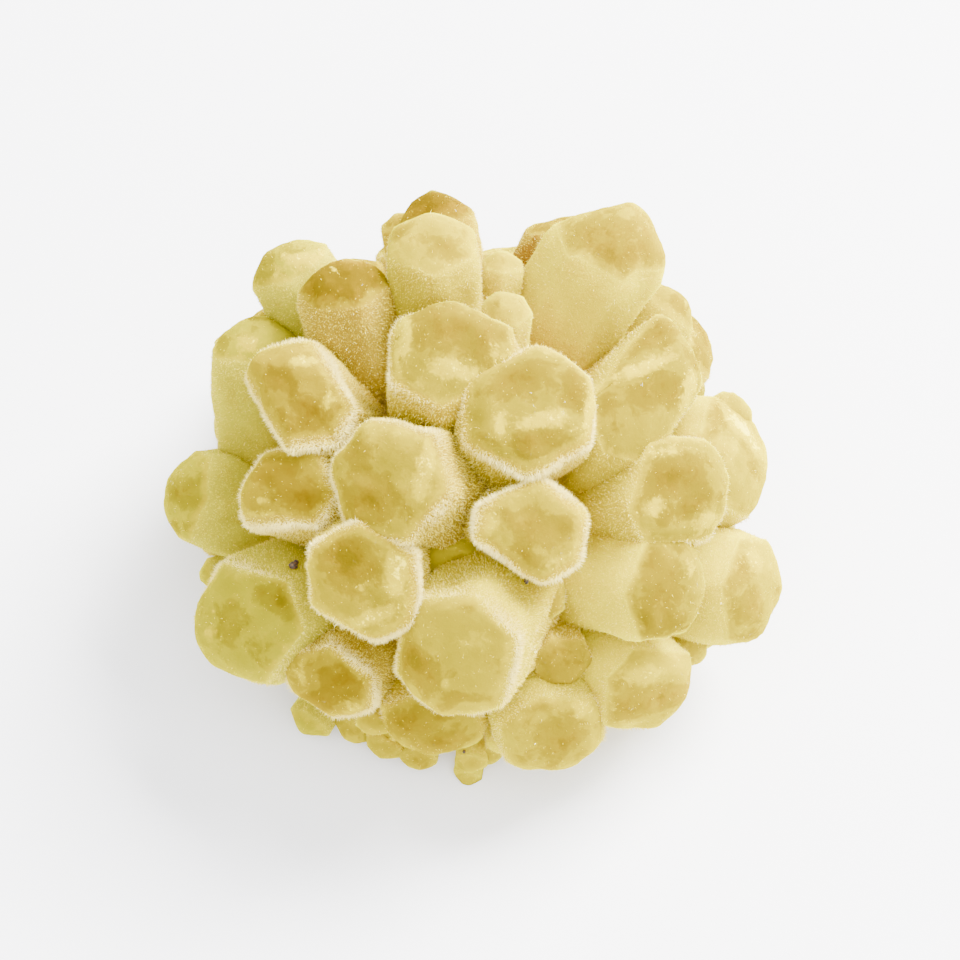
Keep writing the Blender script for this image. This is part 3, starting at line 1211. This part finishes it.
@dataclass
class QuartzSkin:
    """The surface of every crystal, grown together on the root and cut flat below.

    sharp: the least angle between two faces that shows as an edge.
    ground_size: the length of each side of the block that cuts it flat.
    """

    finish: QuartzFinish = field(default_factory=QuartzFinish)
    sharp: float = 38.0
    ground_size: float = 400.0

    def show_forms(self) -> Iterator[tuple[str, CrystalForm, Grain]]:
        """Gives the crystals of the show side."""
        axes = show_axes()
        for name, crystal in {**SHOW_SIDE, **NUBS}.items():
            out = np.array(crystal.at)
            axis = axes @ turned(*crystal.points)
            seat = Seat(HEART + axes @ out, axis, square_to(axes @ turned(crystal.roll), axis))
            length = float(np.linalg.norm(out)) * BODY_SHARE
            grain = FINE if name in SHOW_SIDE else MIDDLING
            yield name, CrystalForm(crystal, seat, LOOKS[name], length), grain

    def hidden_forms(self) -> Iterator[tuple[str, CrystalForm, Grain]]:
        """Gives the crystals that the show side hides, each varied by its place."""
        looks = random.Random(LOOK_SEED)
        for number, (bearing, rise, reach, half_width) in enumerate((*BEHIND, *self.skirt_places())):
            rng = random.Random(int(bearing * 100 + rise))
            axis = bearing_direction(bearing + rng.uniform(-4, 4), rise + BACK_UPTURN)
            first = square_to(bearing_direction(rng.uniform(0, 360), rng.uniform(20, 70)), axis)
            crystal = Crystal(
                at=(0.0, 0.0, 0.0),
                points=(0.0, 0.0),
                sides=tuple(half_width * rng.uniform(0.92, 1.08) for _ in range(6)),
                cap=half_width * rng.uniform(0.3, 0.7),
                lean=(rng.uniform(0, 12), rng.uniform(0, 360)),
            )
            seat = Seat(HEART + bearing_direction(bearing, rise) * reach, axis, first)
            tint, body = HIDDEN_COLOURS[number % len(HIDDEN_COLOURS)]
            spans = ((-0.5, 0.5), (-0.5, 0.5), (0.3, 0.6), (0.2, 0.4))
            spots = tuple(
                (*(looks.uniform(*span) * half_width for span in spans), looks.uniform(0, 180))
                for _ in range(3)
            )
            look = Look(
                tint,
                rim=looks.uniform(0.0, 0.5),
                milk=looks.uniform(0.3, 0.7),
                fuzz=looks.uniform(0.5, 0.9),
                body=body,
                ease=looks.uniform(0.4, 0.9),
                faced=looks.random() < 0.7,
                cores=spots[:2],
                veils=spots[2:],
            )
            grain = MIDDLING if number < len(BEHIND) else COARSE
            yield f"behind_{number}", CrystalForm(crystal, seat, look, reach * BODY_SHARE), grain

    @staticmethod
    def skirt_places() -> Iterator[tuple[float, float, float, float]]:
        """Gives the bearing, rise, reach and half width of each small crystal of the skirt."""
        rng = random.Random(SKIRT_SEED)
        for rise, reach, half_width, first, step in SKIRT:
            for bearing in range(first, 360, step):
                yield (
                    bearing + rng.uniform(-2.5, 2.5),
                    rise + rng.uniform(-3.0, 3.0),
                    reach + rng.uniform(-1.2, 1.0),
                    half_width * rng.uniform(0.75, 1.2),
                )

    def root_mesh(self) -> bpy.types.Mesh:
        """Makes the lumpy druse-covered mass that every crystal stands on."""
        shape = bmesh.new()
        bmesh.ops.create_icosphere(shape, subdivisions=3, radius=1.0)
        rng = random.Random(ROOT_SEED)
        for vertex in shape.verts:
            out = vertex.co.normalized()
            lump = rng.uniform(-1.0, 1.0) * ROOT_LUMP
            vertex.co = Vector(HEART) + Vector(out[i] * (ROOT_RADII[i] + lump) for i in range(3))
        bmesh.ops.subdivide_edges(shape, edges=shape.edges[:], cuts=3, use_grid_fill=True, smooth=0.6)
        for vertex in shape.verts:
            out = (vertex.co - Vector(HEART)).normalized()
            druse = 0.45 * noise.noise(vertex.co * 0.55) + 0.25 * noise.noise(vertex.co * 1.3)
            vertex.co += out * (druse - ROOT_INSET)
        mesh = bpy.data.meshes.new("root")
        shape.to_mesh(mesh)
        shape.free()
        values = {
            "zone": (0, 30, 0),
            "trim": (0, 0.2, 1),
            "tint": Tint.HONEY.value,
            "body": Body.STRAW.value,
            "patch": (0, 0, 0),
            "velvet": (0.30, 0, 0),
        }
        for name, value in values.items():
            write_corners(mesh, name, np.tile(value, (len(mesh.loops), 1)))
        return mesh

    def build(self) -> bpy.types.Object:
        """Grows the crystals together, cuts them flat and dresses the surface."""
        root = link(self.root_mesh(), "crystals")
        crystals = bpy.data.collections.new("growing")
        bpy.context.scene.collection.children.link(crystals)
        for name, form, grain in (*self.show_forms(), *self.hidden_forms()):
            crystals.objects.link(bpy.data.objects.new(name, form.build(name, grain)))
        grown = root.modifiers.new("grown_together", "BOOLEAN")
        grown.operation, grown.operand_type, grown.solver = "UNION", "COLLECTION", "MANIFOLD"
        grown.collection = crystals
        ground = bmesh.new()
        bmesh.ops.create_cube(ground, size=self.ground_size)
        bmesh.ops.translate(ground, verts=ground.verts, vec=(0, 0, -self.ground_size / 2))
        block = bpy.data.meshes.new("ground")
        ground.to_mesh(block)
        below = link(block, "ground")
        cut = root.modifiers.new("cut_flat", "BOOLEAN")
        cut.operation, cut.object, cut.solver = "DIFFERENCE", below, "MANIFOLD"
        mesh = evaluated_mesh(root)
        root.modifiers.clear()
        for helper in (*crystals.objects, below):
            bpy.data.objects.remove(helper)
        bpy.data.collections.remove(crystals)
        root.data = mesh
        self.dress(mesh)
        return root

    def dress(self, mesh: bpy.types.Mesh) -> None:
        """Turns the mesh to metres, shades it smooth between its edges, and gives it its finish."""
        mesh.transform(Matrix.Scale(MM, 4))
        mesh.materials.clear()
        mesh.materials.append(self.finish.material())
        mesh.polygons.foreach_set("material_index", np.zeros(len(mesh.polygons), dtype=np.int32))
        mesh.shade_smooth()
        mesh.set_sharp_from_angle(angle=math.radians(self.sharp))


@dataclass
class NeedleVelvet:
    """The velvet of needles, in pieces that each cover a sector of the cluster.

    sectors, first_sector: how many pieces there are, and how far round the first one starts.
    count: about how many needles the fullest piece has.
    length, width: a middling needle's.
    tilt: how far needles stray from upright.
    behind: how thick the velvet stands where the show side doesn't see it.
    fade: (away, over): how far a face may turn away, and over how much of a turn the velvet thins.
    back: how far out from the heart, towards the show side, the thick velvet starts.
    foot: how high above the ground the needles start.
    """

    sectors: int = 5
    count: int = 34000
    length: float = 0.60
    width: float = 0.042
    tilt: float = 0.65
    behind: float = 0.35
    first_sector: float = 200.0
    fade: Pair = (0.35, 0.5)
    back: float = -6.0
    foot: float = 1.2
    finish: NeedleFinish = field(default_factory=NeedleFinish)

    def share_out(self, mesh: bpy.types.Mesh) -> np.ndarray:
        """Marks each face with its sector, thins the needles behind, and measures each sector.

        Args:
            mesh: the quartz skin, in metres.

        Returns:
            The velvet's area in each sector, in square metres, weighted by its thickness.
        """
        faces = len(mesh.polygons)

        def read(name: str, width: int, kind: type = np.float32) -> np.ndarray:
            """Reads a property of every face."""
            values = np.zeros(faces * width, kind)
            mesh.polygons.foreach_get(name, values)
            return values.reshape(-1, 3) if width == 3 else values

        centres, normals = read("center", 3) / MM - HEART, read("normal", 3)
        starts, totals = read("loop_start", 1, np.int32), read("loop_total", 1, np.int32)
        seen = centres @ show_axes()
        around = (np.degrees(np.arctan2(seen[:, 1], seen[:, 0])) + self.first_sector) % 360
        sector = (around / (360 / self.sectors)).astype(np.int32)
        facing = normals @ show_axes()[:, 2]
        away, over = self.fade
        shown = np.clip((facing + away) / over, self.behind, 1)
        shown *= np.where(seen[:, 2] < self.back, self.behind, 1)
        shown[centres[:, 2] < self.foot - HEART_HEIGHT] = 0
        fuzz = np.zeros(len(mesh.loops) * 3, np.float32)
        mesh.attributes["velvet"].data.foreach_get("vector", fuzz)
        fuzz = fuzz.reshape(-1, 3)
        fuzz[:, 0] *= np.repeat(shown, totals)
        mesh.attributes["velvet"].data.foreach_set("vector", fuzz.ravel())
        mean = np.add.reduceat(fuzz[:, 0], starts) / totals
        layer = mesh.attributes.new("sector", "INT", "FACE")
        layer.data.foreach_set("value", sector)
        return np.bincount(sector, weights=mean * read("area", 1), minlength=self.sectors)

    def tree(self, material: bpy.types.Material) -> bpy.types.GeometryNodeTree:
        """Writes the node tree that grows needles on one sector of a surface."""
        tree = bpy.data.node_groups.new("needle_velvet", "GeometryNodeTree")
        graph = Graph(tree)
        sockets = (
            ("Surface", "NodeSocketGeometry", None),
            ("Sector", "NodeSocketInt", 0),
            ("Density", "NodeSocketFloat", 1e6),
            ("Length", "NodeSocketFloat", self.length * MM),
            ("Width", "NodeSocketFloat", self.width * MM),
            ("Tilt", "NodeSocketFloat", self.tilt),
            ("Seed", "NodeSocketInt", NEEDLE_SEED),
        )
        for name, kind, value in sockets:
            made = tree.interface.new_socket(name, in_out="INPUT", socket_type=kind)
            if value is not None:
                made.default_value = value
        tree.interface.new_socket("Needles", in_out="OUTPUT", socket_type="NodeSocketGeometry")
        given = graph.node("NodeGroupInput")

        def get(name: str) -> Value:
            """Reads one of the tree's inputs."""
            return graph.value(given, name)

        def named(name: str, kind: str) -> Value:
            """Reads an attribute of the surface."""
            return graph.value(graph.node("GeometryNodeInputNamedAttribute", {"Name": name}, data_type=kind))

        def chance(low: object, high: object, seed: int, kind: str = "FLOAT") -> Value:
            """Gives a random value for each needle."""
            made = graph.node("FunctionNodeRandomValue", data_type=kind)
            first = {"FLOAT_VECTOR": 0, "FLOAT": 2}[kind]
            graph.plug(made.inputs[first], low)
            graph.plug(made.inputs[first + 1], high)
            graph.plug(made.inputs["Seed"], get("Seed") + float(seed))
            return graph.value(made, {"FLOAT_VECTOR": 0, "FLOAT": 1}[kind])

        thick, rim, _ = graph.parts(named("velvet", "FLOAT_VECTOR"))
        here = graph.node("FunctionNodeCompare", data_type="INT", operation="EQUAL")
        graph.plug(here.inputs[2], named("sector", "INT"))
        graph.plug(here.inputs[3], get("Sector"))
        scatter = graph.node(
            "GeometryNodeDistributePointsOnFaces",
            {
                "Mesh": get("Surface"),
                "Selection": graph.value(here),
                "Density": get("Density") * thick,
                "Seed": get("Seed"),
            },
        )
        points, normal = graph.value(scatter, "Points"), graph.value(scatter, "Normal")
        roots = self.remembered(graph, points, "normal", normal)
        shade_and_rim = graph.value(graph.node("ShaderNodeCombineXYZ", {0: chance(0.0, 1.0, 1), 1: rim}))
        roots = self.remembered(graph, roots, "needle", shade_and_rim)
        stray = chance((-1, -1, -1), (1, 1, 1), 2, "FLOAT_VECTOR")
        stray = graph.vector("SCALE", first=stray, Scale=get("Tilt"))
        way = graph.vector("ADD", first=named("normal", "FLOAT_VECTOR"), second=stray)
        turn = graph.node("FunctionNodeAlignRotationToVector", {"Vector": way}, axis="Z")
        tall = get("Length") * chance(0.4, 1.5, 3) * (rim * 0.8 + 0.6)
        wide = get("Width") * chance(0.7, 1.3, 4) * (rim * 0.3 + 1.0)
        size = graph.node("ShaderNodeCombineXYZ", {0: wide, 1: wide, 2: tall})
        needle = graph.node(
            "GeometryNodeMeshCone",
            {
                "Vertices": 3,
                "Side Segments": 1,
                "Fill Segments": 1,
                "Radius Top": 0.0,
                "Radius Bottom": 1.0,
                "Depth": 1.0,
            },
            fill_type="NGON",
        )
        lowered = {"Geometry": graph.value(needle), "Translation": (0, 0, -0.18)}
        sunk = graph.node("GeometryNodeTransform", lowered)
        placed = graph.node(
            "GeometryNodeInstanceOnPoints",
            {
                "Points": roots,
                "Instance": graph.value(sunk),
                "Rotation": graph.value(turn),
                "Scale": graph.value(size),
            },
        )
        real = graph.node("GeometryNodeRealizeInstances", {0: graph.value(placed)})
        dressed = graph.node("GeometryNodeSetMaterial", {"Geometry": graph.value(real), "Material": material})
        graph.node("NodeGroupOutput", {"Needles": graph.value(dressed)})
        return tree

    @staticmethod
    def remembered(graph: Graph, geometry: Value, name: str, vector: Value) -> Value:
        """Stores a vector on each point under a name."""
        inputs = {"Geometry": geometry, "Name": name}
        made = graph.node("GeometryNodeStoreNamedAttribute", inputs, domain="POINT", data_type="FLOAT_VECTOR")
        graph.plug(made.inputs["Value"], vector)
        return graph.value(made)

    def build(self, skin: bpy.types.Object) -> list[bpy.types.Object]:
        """Grows the velvet on the quartz skin.

        Args:
            skin: the quartz skin.

        Returns:
            One object for each sector.
        """
        grown = []
        areas = self.share_out(skin.data)
        density = float(self.count / areas.max())
        LOG.info("needles per square millimetre: %.1f", density * MM * MM)
        tree = self.tree(self.finish.material())
        for sector in range(self.sectors):
            carrier = link(skin.data.copy(), f"needles_{sector + 1}")
            velvet = carrier.modifiers.new("velvet", "NODES")
            velvet.node_group = tree
            items = tree.interface.items_tree
            given = {item.name: item.identifier for item in items if item.in_out == "INPUT"}
            velvet[given["Sector"]] = sector
            velvet[given["Density"]] = density
            velvet[given["Seed"]] = NEEDLE_SEED + sector
            mesh = evaluated_mesh(carrier)
            carrier.modifiers.clear()
            old, carrier.data = carrier.data, mesh
            bpy.data.meshes.remove(old)
            grown.append(carrier)
        return grown


@dataclass
class DarkGrains:
    """Specks of dark mineral that are caught in the velvet.

    viewer: how far from the heart their viewer stands.
    specks: (right, up, radius) of each.
    """

    viewer: float = VIEWER
    specks: tuple[tuple[float, float, float], ...] = (
        (-26.4, -9.4, 0.62),
        (-26.0, -8.9, 0.35),
        (6.9, -11.6, 0.36),
        (-2.0, -36.0, 0.26),
    )
    finish: GrainFinish = field(default_factory=GrainFinish)

    def build(self, skin: bpy.types.Object) -> bpy.types.Object:
        """Sets each speck on the quartz skin, where a sight line from the show side meets it."""
        places, faces = [v.co for v in skin.data.vertices], [p.vertices[:] for p in skin.data.polygons]
        tree = BVHTree.FromPolygons(places, faces)
        axes = show_axes()
        shape = bmesh.new()
        for right, up, radius in self.specks:
            start = HEART + axes @ np.array((0, 0, self.viewer))
            way = axes @ np.array((right, up, -self.viewer))
            hit = tree.ray_cast(Vector(start) * MM, Vector(way).normalized())[0] / MM
            made = bmesh.ops.create_icosphere(shape, subdivisions=2, radius=radius)["verts"]
            for vertex in made:
                vertex.co *= 1 + 0.35 * noise.noise(vertex.co * 2.4 + hit)
                vertex.co += hit - Vector(way).normalized() * radius * 0.4
        bmesh.ops.scale(shape, verts=shape.verts, vec=(MM, MM, MM))
        mesh = bpy.data.meshes.new("dark_grains")
        shape.to_mesh(mesh)
        shape.free()
        mesh.materials.append(self.finish.material())
        mesh.shade_smooth()
        return link(mesh, "dark_grains")


@dataclass
class Studio:
    """Pale floor, soft lights, and the camera that faces the show side, in metres.

    distance: the camera's, from the heart.
    lens, shift: the camera's, in millimetres and in widths of the picture.
    floor: the length of each side.
    key, fill: the power of each light, in watts.
    key_at, fill_at: where they stand.
    sky: how bright it is.
    """

    distance: float = VIEWER * MM
    lens: float = 80.0
    shift: Pair = (2 / 960, 20 / 960)
    floor: float = 3.0
    key: float = 62.0
    key_at: Triple = (0.46, 0.36, 0.66)
    fill: float = 14.0
    fill_at: Triple = (0.05, -0.34, 0.66)
    sky: float = 1.9

    def build(self) -> None:
        """Sets up the floor, the lights, the sky and the camera."""
        shape = bmesh.new()
        bmesh.ops.create_grid(shape, x_segments=1, y_segments=1, size=self.floor / 2)
        mesh = bpy.data.meshes.new("floor")
        shape.to_mesh(mesh)
        shape.free()
        mesh.materials.append(FloorFinish().material())
        link(mesh, "floor")
        self.light("key_light", self.key_at, self.key, 0.45, (1.0, 0.99, 0.97))
        self.light("fill_light", self.fill_at, self.fill, 0.8, (0.98, 0.99, 1.0))
        world = bpy.data.worlds.new("studio")
        bpy.context.scene.world = world
        world.use_nodes = True
        graph = Graph(world.node_tree)
        sky = graph.node("ShaderNodeBackground", {"Color": (0.96, 0.97, 1.0), "Strength": self.sky})
        graph.node("ShaderNodeOutputWorld", {"Surface": graph.value(sky)})
        self.camera()

    def light(self, name: str, at: Triple, power: float, size: float, colour: Colour) -> None:
        """Adds a soft square light that faces the heart."""
        lamp = bpy.data.lights.new(name, "AREA")
        lamp.energy, lamp.size, lamp.color = power, size, colour
        made = bpy.data.objects.new(name, lamp)
        bpy.context.scene.collection.objects.link(made)
        made.location = at
        made.rotation_euler = (Vector(HEART) * MM - Vector(at)).to_track_quat("-Z", "Y").to_euler()

    def camera(self) -> None:
        """Adds the camera."""
        lens = bpy.data.cameras.new("camera")
        lens.lens, lens.sensor_width = self.lens, 36.0
        lens.shift_x, lens.shift_y = self.shift
        lens.clip_start = 0.01
        made = bpy.data.objects.new("camera", lens)
        bpy.context.scene.collection.objects.link(made)
        axes = show_axes()
        made.location = Vector(HEART * MM + axes @ np.array((0, 0, self.distance)))
        made.rotation_euler = Matrix(axes.tolist()).to_euler()
        bpy.context.scene.camera = made


def main() -> None:
    """Builds the cluster and the studio."""
    logging.basicConfig(level=logging.INFO, format="%(name)s: %(message)s")
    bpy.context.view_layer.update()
    skin = QuartzSkin().build()
    LOG.info("skin triangles: %d", sum(len(p.vertices) - 2 for p in skin.data.polygons))
    pieces = [skin, *NeedleVelvet().build(skin), DarkGrains().build(skin)]
    for piece in pieces:
        finished(piece)
    Studio().build()


if __name__ == "__main__":
    main()
